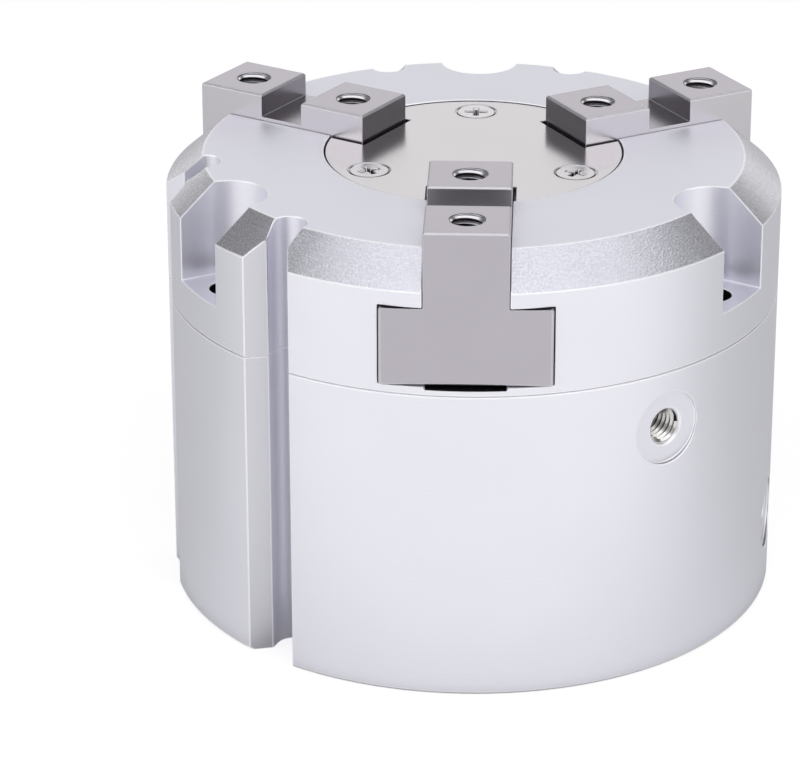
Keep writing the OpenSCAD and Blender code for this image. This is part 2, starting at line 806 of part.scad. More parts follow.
// Socket head bolt that holds the cam on the rod
module cam_bolt() {
    color("dimgray") difference() {
        union() {
            translate([0, 0, cam_seat_z]) cylinder(r = m6_head_r, h = m6_head_h);
            translate([0, 0, cam_z - cam_bolt_grip])
                cylinder(r = m6_r - fit, h = cam_seat_z - cam_z + cam_bolt_grip + cut);
        }
        translate([0, 0, cam_seat_z + m6_head_h / 2]) hex(m6_key_w, m6_head_h);
    }
}

// ------------------------------------------------------------------ jaws

// Front view of the jaw: neck on a T-shaped foot, with bevelled edges
module jaw_front() {
    n = jaw_w / 2;
    f = foot_w / 2;
    b = jaw_bevel;
    half = [
        [f - b, foot_z],
        [f, foot_z + b],
        [f, foot_top_z - b],
        [f - b, foot_top_z],
        [n, foot_top_z],
        [n, jaw_top_z - b],
        [n - b, jaw_top_z]];
    last = len(half) - 1;
    polygon(concat(half, [for (i = [0:last]) [-half[last - i][0], half[last - i][1]]]));
}

// Side view of the jaw: two raised blocks with the keyway between them, wedge face at the inner end
module jaw_side() {
    b = jaw_bevel;
    k = key_w / 2;
    tip_z = cam_top_z + (wedge_x(cam_top_z, rail_gap) - tip_r) / lean;
    polygon([
        [wedge_x(foot_z, rail_gap), foot_z],
        [jaw_end - b, foot_z],
        [jaw_end, foot_z + b],
        [jaw_end, jaw_top_z - b],
        [jaw_end - b, jaw_top_z],
        [jaw_mid + k + b, jaw_top_z],
        [jaw_mid + k, jaw_top_z - b],
        [jaw_mid + k, key_z],
        [jaw_mid - k, key_z],
        [jaw_mid - k, jaw_top_z - b],
        [jaw_mid - k - b, jaw_top_z],
        [jaw_r + b, jaw_top_z],
        [jaw_r, jaw_top_z - b],
        [jaw_r, under_plate_z],
        [tip_r, under_plate_z],
        [tip_r, tip_z]]);
}

// Plan of the jaw: the inner end is pointed, so that three closed jaws clear each other
module jaw_plan() {
    f = foot_w / 2;
    b = jaw_bevel;
    tip_y = (tip_r * sin(60) - tip_gap) / cos(60);
    wide_x = (f * cos(60) + tip_gap) / sin(60);
    polygon([
        [tip_r, -tip_y],
        [wide_x, -f],
        [jaw_end - b, -f],
        [jaw_end, -f + b],
        [jaw_end, f - b],
        [jaw_end - b, f],
        [wide_x, f],
        [tip_r, tip_y]]);
}

// One of the two threaded holes on top of the jaw
module jaw_hole() {
    translate([0, 0, jaw_top_z - jaw_hole_depth]) cylinder(d = jaw_hole_d, h = jaw_hole_depth + cut);
    translate([0, 0, jaw_top_z - jaw_hole_chamfer])
        cylinder(d1 = jaw_hole_d, d2 = jaw_hole_d + 2 * (jaw_hole_chamfer + fit), h = jaw_hole_chamfer + fit);
}

// A jaw pointing outwards along +X, with the T-slot that rides on the cam's rail
module jaw() {
    low_z = foot_z - cut;
    high_z = under_plate_z + cut;
    difference() {
        intersection() {
            rotate([90, 0, 90]) linear_extrude(2 * body_r) jaw_front();
            slab(2 * body_r) jaw_side();
            linear_extrude(2 * body_h) jaw_plan();
        }
        wedge_layer(-cut, stem_t + 2 * fit, low_z, high_z, stem_w + 2 * rail_gap);
        wedge_layer(stem_t - rail_gap, rail_t + rail_gap, low_z, high_z, head_w + 2 * rail_gap);
        for (s = [-1, 1]) translate([jaw_mid + s * jaw_pitch / 2, 0, 0]) jaw_hole();
    }
}

module jaw_1() { color("darkgray") rotate([0, 0, jaw_angles[0]]) jaw(); }
module jaw_2() { color("darkgray") rotate([0, 0, jaw_angles[1]]) jaw(); }
module jaw_3() { color("darkgray") rotate([0, 0, jaw_angles[2]]) jaw(); }

// ------------------------------------------------------------------ assembly

upper_body();
lower_body();
cover_plate();
plate_screws();
body_screws();
screw_o_rings();
dowel_pins();
rod_bush();
rod_seal();
upper_bumper();
end_cap();
lower_bumper();
cap_o_ring();
retaining_ring();
piston();
piston_seal();
magnet_ring();
wear_ring();
piston_rod();
rod_o_ring();
piston_screw();
wedge_cam();
cam_bolt();
jaw_1();
jaw_2();
jaw_3();
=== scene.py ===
"""Three jaw concentric gripper: edges, threads, screw heads and finishes around the frame."""

import json
import math

import bpy
from mathutils import Matrix, Vector

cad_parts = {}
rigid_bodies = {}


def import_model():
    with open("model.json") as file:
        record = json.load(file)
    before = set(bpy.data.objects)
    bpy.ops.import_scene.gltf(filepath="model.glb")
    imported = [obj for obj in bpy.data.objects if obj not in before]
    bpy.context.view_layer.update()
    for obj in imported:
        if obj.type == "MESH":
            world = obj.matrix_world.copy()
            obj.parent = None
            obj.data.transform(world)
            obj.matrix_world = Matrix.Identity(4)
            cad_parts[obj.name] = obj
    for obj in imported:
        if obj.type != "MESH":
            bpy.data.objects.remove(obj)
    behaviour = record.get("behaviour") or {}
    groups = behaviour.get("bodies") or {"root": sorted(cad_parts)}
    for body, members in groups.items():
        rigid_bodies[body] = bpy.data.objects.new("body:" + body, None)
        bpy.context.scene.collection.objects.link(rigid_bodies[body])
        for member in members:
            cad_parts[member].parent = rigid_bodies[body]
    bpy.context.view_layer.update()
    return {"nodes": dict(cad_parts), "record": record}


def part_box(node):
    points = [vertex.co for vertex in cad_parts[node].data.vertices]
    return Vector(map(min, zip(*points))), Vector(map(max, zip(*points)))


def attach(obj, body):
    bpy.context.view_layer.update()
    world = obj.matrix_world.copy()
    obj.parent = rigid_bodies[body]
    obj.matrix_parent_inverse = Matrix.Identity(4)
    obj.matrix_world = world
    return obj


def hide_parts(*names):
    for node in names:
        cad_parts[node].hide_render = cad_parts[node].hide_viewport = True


for leftover in list(bpy.data.objects):
    bpy.data.objects.remove(leftover)

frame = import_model()

MM = 0.001

# ---------------------------------------------------------------- facts from the frame

record = frame["record"]
mounts = {mount["name"]: mount for mount in record["mounts"]}
body_of = {
    node: body for body, nodes in record["behaviour"]["bodies"].items() for node in nodes
}
slot_of = {part["node"]: part["material_slot"] for part in record["subparts"]}

body_r = -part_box("lower_body")[0].y
top_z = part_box("upper_body")[1].z
plate_low, plate_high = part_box("cover_plate")
jaw_low, jaw_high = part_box("jaw_1")
heads_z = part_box("plate_screws")[1].z

# ---------------------------------------------------------------- sizes of the gripper

# The chamfer round the top: its width along the radius and its height
RIM_W = 5.25 * MM
RIM_H = 4.5 * MM

# M5 thread: radius over the crests of the screw, pitch, and the ridge's profile and steps in a turn
M5_R = 2.5 * MM
M5_PITCH = 0.8 * MM
RIDGE = 0.30 * MM
RIDGE_STEPS = 28

# Directions of the bolt pockets and of the jaws, seen from above
POCKETS = [math.radians(angle) for angle in (90, 210, 330)]
JAWS = [math.radians(angle) for angle in (-90, 30, 150)]

# Width of a jaw's neck, and the running gaps on each side of the neck and of the foot
JAW_W = 11.4 * MM
NECK_GAP = 0.22 * MM
FOOT_GAP = 0.30 * MM

# Switch grooves: two by each of two pockets, turned this much from it and set off sideways;
# the depth is that of the centre of their round bottom
GROOVE_POCKETS = [math.radians(angle) for angle in (90, 210)]
GROOVE_TURN = math.radians(38.7)
GROOVE_OFFSET = 11.6 * MM
GROOVE_HALF = 2.5 * MM
GROOVE_DEPTH = 7.0 * MM

# The lead-in flat beside a groove: its width, its depth at the groove, and its slope outwards
FLAT_W = 3.24 * MM
FLAT_DEPTH = 4.60 * MM
FLAT_FALL = 0.95 * MM

# ---------------------------------------------------------------- what is added to that shape

# Edges of the turned and milled aluminium, of the ground jaws and of small parts
BODY_EDGE = 0.15 * MM
JAW_EDGE = 0.09 * MM
FINE_EDGE = 0.10 * MM

# Edges at a larger angle than this are rounded; the two body halves have slighter ones too
SHARP = math.radians(33)
SLIGHT = math.radians(17)

# A groove's lip: how deep below the outer radius it stands, and how far it closes the groove
LIP_DEPTH = 4.0 * MM
LIP = 1.4 * MM

# The lead-in flat goes deeper at the groove, and its outer edge moves out and over
FLAT_IN = 0.75 * MM
FLAT_OUT = 0.22 * MM
FLAT_OVER = 0.5 * MM

# The slots' walls come this much nearer to the jaws, and the plate's rim leaves its seat as much
TRIM = 0.13 * MM

# Which material a face takes, of those that dress() gives a piece
EDGE_FACE = 1
# Painted shade, near black: inside holes and on the relief below the jaws' feet
SHADE_FACE = 2
# Painted shade, mid-dark: on the walls round the ports' spot faces, the jaws' keyway walls and the
# plate's gap
RECESS_SHADE_FACE = 3
MILLED_FACE = 4

# Two measures that differ by less than this are the same
SAME = 0.03 * MM

# A face looks along an axis if its normal has this much of it
ALONG = 0.93

# Walls outside a port's hole but this near to its axis belong to its spot face, and take painted
# shade
NEAR_PORT = 6.5 * MM


# ---------------------------------------------------------------- modelling helpers


def pick(*things):
    """Selects these objects alone; the first becomes the active one."""
    bpy.ops.object.select_all(action="DESELECT")
    for thing in things:
        thing.select_set(True)
    bpy.context.view_layer.objects.active = things[0]


def apply_all(piece):
    """Applies every modifier of a piece, in their order."""
    pick(piece)
    for modifier in list(piece.modifiers):
        bpy.ops.object.modifier_apply(modifier=modifier.name)


def settle(piece):
    """Puts the piece's place into its mesh, so that its object sits at the origin."""
    pick(piece)
    bpy.ops.object.transform_apply(location=True, rotation=True, scale=True)


def merged_copy(node, name):
    """A copy of a CAD node with its triangles joined and its flat faces made whole."""
    piece = bpy.data.objects.new(name, frame["nodes"][node].data.copy())
    bpy.context.scene.collection.objects.link(piece)
    pick(piece)
    bpy.ops.mesh.customdata_custom_splitnormals_clear()
    bpy.ops.object.mode_set(mode="EDIT")
    bpy.ops.mesh.select_all(action="SELECT")
    bpy.ops.mesh.remove_doubles(threshold=0.001 * MM)
    bpy.ops.mesh.dissolve_limited(angle_limit=math.radians(0.3))
    bpy.ops.object.mode_set(mode="OBJECT")
    return piece


def round_edges(piece, edge, sharp):
    """Rounds the sharp edges; the rounded strips take the second material."""
    bevel = piece.modifiers.new("round", "BEVEL")
    bevel.width = edge
    bevel.segments = 2
    bevel.limit_method = "ANGLE"
    bevel.angle_limit = sharp
    bevel.use_clamp_overlap = False
    bevel.material = EDGE_FACE
    apply_all(piece)
    pick(piece)
    bpy.ops.object.shade_smooth_by_angle(angle=sharp)
    flatten = piece.modifiers.new("flatten", "WEIGHTED_NORMAL")
    flatten.weight = 90
    flatten.keep_sharp = True
    apply_all(piece)


def dress(piece, node, finish, edge_finish):
    """Gives the piece its materials, and puts it in the CAD node's place."""
    materials = [finish, edge_finish]
    if node in HOLES:
        # Pieces with holes also take the painted shade of holes and recesses, and a milled finish
        materials += [HOLE_SHADE, RECESS, FLANK if node.startswith("jaw") else MILLED]
    piece.data.materials.clear()
    for material in materials:
        piece.data.materials.append(material)
    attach(piece, body_of[node])
    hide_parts(node)


def choose(piece, wanted):
    """Edit mode with those vertices selected for which wanted(place) is true."""
    pick(piece)
    bpy.ops.object.mode_set(mode="EDIT")
    bpy.ops.mesh.select_mode(type="VERT")
    bpy.ops.mesh.select_all(action="DESELECT")
    bpy.ops.object.mode_set(mode="OBJECT")
    for vertex in piece.data.vertices:
        vertex.select = wanted(vertex.co)
    bpy.ops.object.mode_set(mode="EDIT")


def across(place, centre, axis):
    """How far a place is from a line, and how far along it."""
    offset = place - centre
    along = offset.dot(axis)
    return (offset - axis * along).length, along


def turn_to(axis):
    """The turn that takes +Z to an axis."""
    return Vector(axis).to_track_quat("Z", "Y").to_matrix()


def spread_hole(piece, mount, r_to):
    """Widens the wall of a threaded hole to the depth of its thread."""
    centre = Vector(mount["pos_m"])
    axis = Vector(mount["axis"])
    r_from = mount["dims"]["r_mm"] * MM
    length = mount["dims"]["length_mm"] * MM

    def on_wall(place):
        radius, along = across(place, centre, axis)
        return abs(radius - r_from) < SAME and abs(along) < length * 0.6

    choose(piece, on_wall)
    spread = r_to / r_from
    bpy.ops.transform.resize(
        value=(spread, spread, 1),
        orient_type="GLOBAL",
        orient_matrix=turn_to(axis),
        orient_matrix_type="GLOBAL",
        center_override=centre,
    )
    bpy.ops.object.mode_set(mode="OBJECT")


def thread(name, mount, body, finish):
    """The ridge of an M5 thread: a three-sided profile wound up the hole."""
    bpy.ops.object.select_all(action="DESELECT")
    bpy.ops.mesh.primitive_circle_add(vertices=3, radius=RIDGE, rotation=(math.radians(90), 0, 0))
    ridge = bpy.context.object
    ridge.name = name
    settle(ridge)
    bpy.ops.object.mode_set(mode="EDIT")
    bpy.ops.mesh.select_all(action="SELECT")
    bpy.ops.transform.rotate(value=math.radians(90), orient_axis="Y", center_override=(0, 0, 0))
    bpy.ops.object.mode_set(mode="OBJECT")
    if max(vertex.co.x for vertex in ridge.data.vertices) > RIDGE * 0.9:
        pick(ridge)
        ridge.rotation_euler = (0, math.pi, 0)
        settle(ridge)
    length = mount["dims"]["length_mm"] * MM
    turns = int(length / M5_PITCH)
    pick(ridge)
    ridge.scale = (1, 1, 1.3)
    ridge.location = (M5_R + 0.02 * MM - RIDGE / 2, 0, length / 2 - turns * M5_PITCH)
    settle(ridge)
    wind = ridge.modifiers.new("wind", "SCREW")
    wind.axis = "Z"
    wind.screw_offset = M5_PITCH
    wind.iterations = turns
    wind.steps = RIDGE_STEPS
    wind.render_steps = RIDGE_STEPS
    apply_all(ridge)
    bpy.ops.object.mode_set(mode="EDIT")
    bpy.ops.mesh.select_all(action="SELECT")
    bpy.ops.mesh.remove_doubles(threshold=0.001 * MM)
    bpy.ops.mesh.fill_holes(sides=3)
    bpy.ops.mesh.select_all(action="SELECT")
    bpy.ops.mesh.normals_make_consistent(inside=False)
    bpy.ops.object.mode_set(mode="OBJECT")
    pick(ridge)
    bpy.ops.object.shade_smooth_by_angle(angle=math.radians(35))
    ridge.matrix_world = Matrix.Translation(mount["pos_m"]) @ turn_to(mount["axis"]).to_4x4()
    settle(ridge)
    ridge.data.materials.append(finish)
    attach(ridge, body)


def bores(node):
    """Centre, axis and radius of the holes that go dark in a node."""
    found = [
        (Vector(mounts[name]["pos_m"]), Vector(mounts[name]["axis"]), M5_R - 0.02 * MM)
        for name in HOLES[node]
    ]
    if node.endswith("body"):
        pattern = mounts["base_bolts"]["dims"]
        for turn in POCKETS:
            reach = pattern["pcd_mm"] / 2 * MM
            centre = Vector((math.cos(turn), math.sin(turn), 0)) * reach
            found.append((centre, Vector((0, 0, 1)), (pattern["hole_r_mm"] + 0.02) * MM))
    return found


def mark_hole(face, centre, axis, radius, node):
    """Paints shade on a face inside a hole, and paints a lighter shade on the walls round a port's
    spot face; says how far off its axis it is.
    """
    away = across(face.center, centre, axis)[0]
    slope = abs(face.normal.dot(axis))
    if away < radius and slope < 0.95:
        face.material_index = SHADE_FACE
    elif radius < away < NEAR_PORT and slope < 0.3 and node == "lower_body" and axis.z == 0:
        face.material_index = RECESS_SHADE_FACE
    return away


def mark_jaw(face, turned):
    """Finish of a jaw's face by its normal, given as the front jaw would have it; the keyway wall
    facing the front takes painted shade.
    """
    if max(abs(part) for part in turned) < ALONG:
        face.material_index = EDGE_FACE
    elif abs(turned.x) > ALONG:
        face.material_index = MILLED_FACE
    # The keyway wall facing the front takes painted shade
    elif turned.y < -ALONG and face.center.xy.length < -jaw_low.y - 3 * MM:
        face.material_index = RECESS_SHADE_FACE


def mark_body(face, node):
    """Milled finish of the grooves' flats, and painted shade in the plate's gap and on the relief
    below the jaws' feet.
    """
    radius = face.center.xy.length
    in_gap = abs(radius - plate_high.x) < 0.3 * MM and face.center.z > plate_low.z
    # The walls of the gap round the plate take painted shade
    if node != "lower_body" and in_gap and abs(face.normal.z) < 0.3:
        face.material_index = RECESS_SHADE_FACE
    if node.endswith("body") and is_flat(face):
        face.material_index = MILLED_FACE
    below_feet = face.center.z < jaw_low.z - 0.15 * MM
    if node == "upper_body" and radius < body_r - 0.3 * MM and below_feet:
        face.material_index = SHADE_FACE


def mark_faces(piece, node):
    """Gives bevels and flanks their own materials, and paints shade into holes and hidden recesses.
    """
    holes = bores(node)
    for face in piece.data.polygons:
        near = min((mark_hole(face, *hole, node) for hole in holes), default=1.0)
        if not node.startswith("jaw"):
            mark_body(face, node)
        elif near > 3 * MM:
            mark_jaw(face, jaw_normal(piece, face.normal))


def jaw_normal(piece, normal):
    """A normal as the front jaw would have it."""
    low, high = piece.bound_box[0], piece.bound_box[6]
    middle = Vector((low[0] + high[0], low[1] + high[1]))
    turn = Vector((0, -1)).angle_signed(middle)
    return Matrix.Rotation(turn, 3, "Z") @ normal


def scale_chosen(piece, wanted, factor, centre):
    """Scales the vertices for which wanted(place) is true, level with the plate."""
    choose(piece, wanted)
    bpy.ops.transform.resize(value=(factor, factor, 1), center_override=centre)
    bpy.ops.object.mode_set(mode="OBJECT")


def close_slots(piece):
    """Brings the slots' walls to a fine gap from the jaws' flanks."""
    for half in (JAW_W / 2 + NECK_GAP, (jaw_high.x - jaw_low.x) / 2 + FOOT_GAP):
        for turn in JAWS:
            along = Vector((math.cos(turn), math.sin(turn), 0))
            over = Vector((-along.y, along.x, 0))

            def on_wall(place):
                return abs(abs(place.dot(over)) - half) < SAME and place.dot(along) > 0

            choose(piece, on_wall)
            bpy.ops.transform.resize(
                value=(1, 1 - TRIM / half, 1),
                orient_type="GLOBAL",
                orient_matrix=(along, over, (0, 0, 1)),
                orient_matrix_type="GLOBAL",
                center_override=(0, 0, 0),
            )
            bpy.ops.object.mode_set(mode="OBJECT")


def on_chamfer(radius):
    """Height of the rim's chamfer at a radius."""
    return top_z - (radius - body_r + RIM_W) * RIM_H / RIM_W


def grooves():
    """The way out of each switch groove, and the way across it from its flat."""
    for pocket in GROOVE_POCKETS:
        for side in (1, -1):
            turn = pocket + side * GROOVE_TURN
            out = Vector((math.cos(turn), math.sin(turn), 0))
            yield out, Vector((-out.y, out.x, 0)) * side


def shape_grooves(piece):
    """Gives the switch grooves their lip, and leans the lead-in flat further in."""
    mouth = math.sqrt(body_r ** 2 - (GROOVE_OFFSET - GROOVE_HALF) ** 2)
    bottom = body_r - GROOVE_DEPTH
    lip = body_r - LIP_DEPTH
    for out, over in grooves():

        def spot(place):
            return place.dot(out), place.dot(over) + GROOVE_OFFSET

        pick(piece)
        for face in piece.data.polygons:
            reach, width = spot(face.center)
            face.select = abs(width - GROOVE_HALF) < SAME and reach > bottom
        bpy.ops.object.mode_set(mode="EDIT")
        bpy.ops.mesh.bisect(plane_co=out * lip, plane_no=out)
        bpy.ops.object.mode_set(mode="OBJECT")

        for vertex in piece.data.vertices:
            reach, width = spot(vertex.co)
            if reach < bottom:
                continue
            chamfered = abs(vertex.co.z - on_chamfer(vertex.co.xy.length)) < SAME
            share = (-GROOVE_HALF - width) / FLAT_W
            flat_at = body_r - FLAT_DEPTH + FLAT_FALL * share
            if abs(width - GROOVE_HALF) < SAME:
                ramp = min((reach - bottom) / (lip - bottom), (mouth - reach) / (mouth - lip))
                vertex.co -= over * max(ramp, 0) * LIP
            elif -0.02 < share < 1.05 and abs(reach - flat_at) < 0.05 * MM:
                vertex.co -= out * (FLAT_IN - (FLAT_IN + FLAT_OUT) * share)
                vertex.co += over * FLAT_OVER * share
            else:
                continue
            radius = vertex.co.xy.length
            if chamfered and radius > body_r - RIM_W:
                vertex.co.z = min(on_chamfer(radius), top_z)
    piece.data.update()


def is_flat(face):
    """Whether a face is one of the grooves' lead-in flats."""
    outside = face.center.xy.length > body_r - 0.4 * MM
    for out, over in grooves():
        reach = face.center.dot(out)
        width = face.center.dot(over) + GROOVE_OFFSET + GROOVE_HALF
        if -FLAT_W < width < 0 and reach > body_r - 6 * MM and abs(face.normal.z) < 0.1:
            return face.normal.dot(out) > 0.6 and not outside
    return False


def free_plate(piece):
    """Leaves a fine gap round the plate in its seat."""
    rim = plate_high.x

    def on_rim(place):
        return place.xy.length > rim - 0.05 * MM

    scale_chosen(piece, on_rim, 1 - TRIM / rim, (0, 0, 0))


def shape_heads(piece):
    """Tapers the cross recesses of the plate screws, and frees their heads in the countersinks."""
    pick(piece)
    bpy.ops.object.mode_set(mode="EDIT")
    bpy.ops.mesh.select_all(action="SELECT")
    bpy.ops.mesh.separate(type="LOOSE")
    bpy.ops.object.mode_set(mode="OBJECT")
    screws = list(bpy.context.selected_objects)
    for screw in screws:
        corners = [Vector(corner) for corner in screw.bound_box]
        middle = sum(corners, Vector()) / 8
        head_r = (corners[6].x - corners[0].x) / 2
        top = corners[6].z

        def scale_ring(r_from, r_to, z_from, z_to, factor):
            """Scales what lies between two shares of the head's radius and two depths."""

            def inside(place):
                radius = (place - middle).xy.length / head_r
                return r_from < radius < r_to and z_from < top - place.z < z_to

            scale_chosen(screw, inside, factor, middle)

        scale_ring(0.9, 1.1, -MM, 0.3 * MM, 0.93)
        scale_ring(0, 0.62, -MM, 0.1 * MM, 0.92)
        scale_ring(0, 0.62, 0.9 * MM, 1.3 * MM, 0.62)
    pick(piece, *[screw for screw in screws if screw != piece])
    bpy.ops.object.join()


# ---------------------------------------------------------------- shader helpers


class Varying:
    """A number that varies over a surface; each operator used on it adds one Math node."""

    def __init__(self, finish, socket):
        self.finish = finish
        self.socket = socket

    def maths(self, operation, *values):
        return self.finish.add("ShaderNodeMath", {"operation": operation}, dict(enumerate(values)))

    def __add__(self, other):
        return self.maths("ADD", self, other)

    def __radd__(self, other):
        return self.maths("ADD", other, self)

    def __sub__(self, other):
        return self.maths("SUBTRACT", self, other)

    def __rsub__(self, other):
        return self.maths("SUBTRACT", other, self)

    def __mul__(self, other):
        return self.maths("MULTIPLY", self, other)

    def __truediv__(self, other):
        return self.maths("DIVIDE", self, other)

    def __pow__(self, other):
        return self.maths("POWER", self, other)

    def __abs__(self):
        return self.maths("ABSOLUTE", self)

    def between(self, low, high):
        """0 below low, 1 above high and a smooth step between them."""
        return self.finish.add(
            "ShaderNodeMapRange",
            {"interpolation_type": "SMOOTHSTEP"},
            {"Value": self, "From Min": low, "From Max": high},
        )


class Nodes:
    """A node tree, and one way to add any node to it."""

    def __init__(self, tree):
        self.tree = tree

    def put(self, node, socket, value):
        """Sets a socket, or links it if the value varies."""
        if isinstance(value, Varying):
            self.tree.links.new(value.socket, node.inputs[socket])
        else:
            node.inputs[socket].default_value = value

    def add(self, kind, settings, values, output=0):
        """Any node: its settings first, then its sockets' values or links."""
        node = self.tree.nodes.new(kind)
        for key, value in settings.items():
            setattr(node, key, value)
        for socket, value in values.items():
            self.put(node, socket, value)
        return Varying(self, node.outputs[output]) if node.outputs else None

    def place(self):
        """Object coordinates in mm: the vector, then x, y and z."""
        metres = self.add("ShaderNodeTexCoord", {}, {}, "Object")
        mm = self.add("ShaderNodeVectorMath", {"operation": "SCALE"}, {0: metres, "Scale": 1 / MM})
        parts = self.add("ShaderNodeSeparateXYZ", {}, {0: mm}).socket.node
        return [mm] + [Varying(self, socket) for socket in parts.outputs]


class Finish(Nodes):
    """One material: its principled shader, and what its patterns are worked out from."""

    def __init__(self, name, colour, metallic, roughness):
        self.material = bpy.data.materials.new(name)
        self.material.use_nodes = True
        self.material.diffuse_color = (*colour, 1)
        super().__init__(self.material.node_tree)
        self.shader = self.tree.nodes["Principled BSDF"]
        self.put(self.shader, "Base Color", (*colour, 1))
        self.put(self.shader, "Metallic", metallic)
        self.put(self.shader, "Roughness", roughness)
        self.mm, self.x, self.y, self.z = self.place()
        self.colour = colour

    def noise(self, size, detail=2.0, stretch=(1, 1, 1), along=None):
        """Soft noise from -0.5 to 0.5 with grains of that size in mm; stretch lengthens them."""
        vector = along or self.mm
        scale = [1 / (size * s) for s in stretch]
        spread = self.add("ShaderNodeVectorMath", {"operation": "MULTIPLY"}, {0: vector, 1: scale})
        grain = self.add("ShaderNodeTexNoise", {}, {"Vector": spread, "Scale": 1.0, "Detail": detail})
        return grain - 0.5

    def streaks(self, distance, size, detail=2.0):
        """Noise that varies only with a distance in mm, such as turning marks with a radius."""
        vector = self.add("ShaderNodeCombineXYZ", {}, {0: distance})
        return self.noise(size, detail, along=vector)

    def radius(self):
        """Distance from the gripper's axis, in mm."""
        return (self.x * self.x + self.y * self.y) ** 0.5

    def tint(self, amount):
        """The base colour made lighter or darker by a varying amount, 0 for no change."""
        colour = self.add("ShaderNodeCombineXYZ", {}, dict(enumerate(self.colour)))
        level = amount + 1.0
        shade = self.add("ShaderNodeVectorMath", {"operation": "SCALE"}, {0: colour, "Scale": level})
        self.put(self.shader, "Base Color", shade)

    def bump(self, height, depth):
        """Relief of that depth in mm for heights from 0 to 1."""
        relief = self.add(
            "ShaderNodeBump", {}, {"Height": height, "Distance": depth * MM, "Strength": 1.0}
        )
        self.put(self.shader, "Normal", relief)


# ---------------------------------------------------------------- finishes


def anodised_aluminium(name, colour):
    """Satin anodised aluminium: fine turning marks, and a grainy cut on the rim's chamfer."""
    finish = Finish(name, colour, 0.86, 0.39)
    radius = finish.radius()
    cloud = finish.noise(16, 1)
    grain = finish.noise(0.13, 3)
    side = finish.streaks(finish.z, 0.30)
    face = finish.streaks(radius, 0.30)
    on_top = finish.z.between(top_z / MM - 0.1, top_z / MM - 0.02)
    turning = face * on_top + side * (1 - on_top)

    rim_x = (radius - (body_r - RIM_W) / MM) / (RIM_W / MM)
    rim_z = (finish.z - (top_z - RIM_H) / MM) / (RIM_H / MM)
    off_cone = abs(rim_x + rim_z - 1)
    on_rim = (1 - off_cone.between(0.015, 0.03)) * rim_z.between(-0.01, 0.01)
    around = finish.y.maths("ARCTAN2", finish.y, finish.x) * (body_r / MM)
    swirl = finish.add("ShaderNodeCombineXYZ", {}, {0: around, 1: finish.z, 2: radius})
    marks = finish.noise(0.24, 3, (1.3, 1, 1), swirl)
    pits = finish.noise(0.34, 4)
    patches = finish.noise(7, 2).between(-0.15, 0.2)
    speckle = (marks + pits).between(-0.16, 0.20)

    tone = cloud * 0.04 + turning * 0.05 + grain * 0.05
    coarse = (speckle - 0.62) * (0.07 + patches * 0.10) - 0.12
    finish.tint(tone * (1 - on_rim) + coarse * on_rim)
    satin = 0.38 + on_top * 0.13 + grain * 0.10 + turning * 0.05
    finish.put(finish.shader, "Roughness", satin - on_rim * 0.10)
    finish.bump(grain * 0.5 + turning * 0.5 + on_rim * (marks + pits) * 7.0, 0.004)
    return finish.material


def bright_edge():
    """The narrow machined edges of the aluminium."""
    finish = Finish("bright_edge", (0.95, 0.95, 0.98), 0.55, 0.42)
    finish.tint(finish.noise(0.5, 2) * 0.06)
    finish.put(finish.shader, "Roughness", 0.42 + finish.noise(0.2, 2) * 0.1)
    return finish.material


def ground_steel(name, colour):
    """Hardened jaw steel with faint grinding lines."""
    finish = Finish(name, colour, 1.0, 0.25)
    cloud = finish.noise(9, 2)
    lines = finish.noise(0.20, 3, (1, 1, 10))
    fine = finish.noise(0.09, 2)
    finish.tint(cloud * 0.05 + lines * 0.025 + fine * 0.03)
    finish.put(finish.shader, "Roughness", 0.25 + cloud * 0.05 + lines * 0.05)
    finish.bump(lines * 0.5 + fine, 0.0008)
    return finish.material


def steel_edge():
    """Lighter steel on the bevels of the jaws, plate and screws: a painted highlight along the edges.
    """
    finish = Finish("steel_edge", (0.62, 0.60, 0.63), 1.0, 0.45)
    finish.tint(finish.noise(0.6, 2) * 0.1)
    finish.put(finish.shader, "Roughness", 0.45 + finish.noise(0.3, 2) * 0.1)
    return finish.material


def brushed_plate():
    """Thin stainless plate, brushed across the gripper."""
    finish = Finish("brushed_plate", (0.645, 0.625, 0.638), 1.0, 0.19)
    brush = finish.noise(0.10, 3, (70, 1, 1))
    cloud = finish.noise(12, 2)
    finish.tint(brush * 0.08 + cloud * 0.06)
    finish.put(finish.shader, "Roughness", 0.19 + brush * 0.08 + cloud * 0.06)
    finish.bump(brush, 0.0010)
    return finish.material


def screw_steel():
    """Bright turned screw heads, with painted shade that darkens them below the top face, into the
    cross recesses.
    """
    finish = Finish("screw_steel", (0.70, 0.68, 0.69), 1.0, 0.22)
    # Painted shade: the colour darkens below the head's top face, so the cross recesses go dark
    face = finish.z.between(heads_z / MM - 0.35, heads_z / MM - 0.03)
    finish.tint((face - 1.0) * 0.90 + finish.noise(0.5, 2) * 0.12)
    finish.put(finish.shader, "Roughness", 0.22 + finish.noise(0.3, 2) * 0.1)
    return finish.material


def crests(name, colour, way, surface, dark, bright):
    """Thread crests with painted shade: full colour at one depth, darkening at another, along z or
    along the radius.
    """
    finish = Finish(name, colour, 1.0, 0.22)
    place = finish.z if way == "z" else finish.radius()
    # Painted shade: the crests go dark deeper in the hole, where shade falls
    shine = place.between(surface - dark, surface - bright)
    finish.tint((shine - 1.0) * 0.8 + finish.noise(0.3, 2) * 0.1)
    finish.put(finish.shader, "Roughness", 0.22 + finish.noise(0.2, 2) * 0.08)
    return finish.material


def plain(name, colour, metallic, roughness, grain=0.3, depth=0.003):
    """A quiet finish with a fine grain, for what lies inside or beneath."""
    finish = Finish(name, colour, metallic, roughness)
    noise = finish.noise(grain, 3)
    finish.tint(noise * 0.18 + finish.noise(grain * 25, 1) * 0.1)
    finish.put(finish.shader, "Roughness", roughness + noise * 0.12)
    finish.bump(noise, depth)
    return finish.material


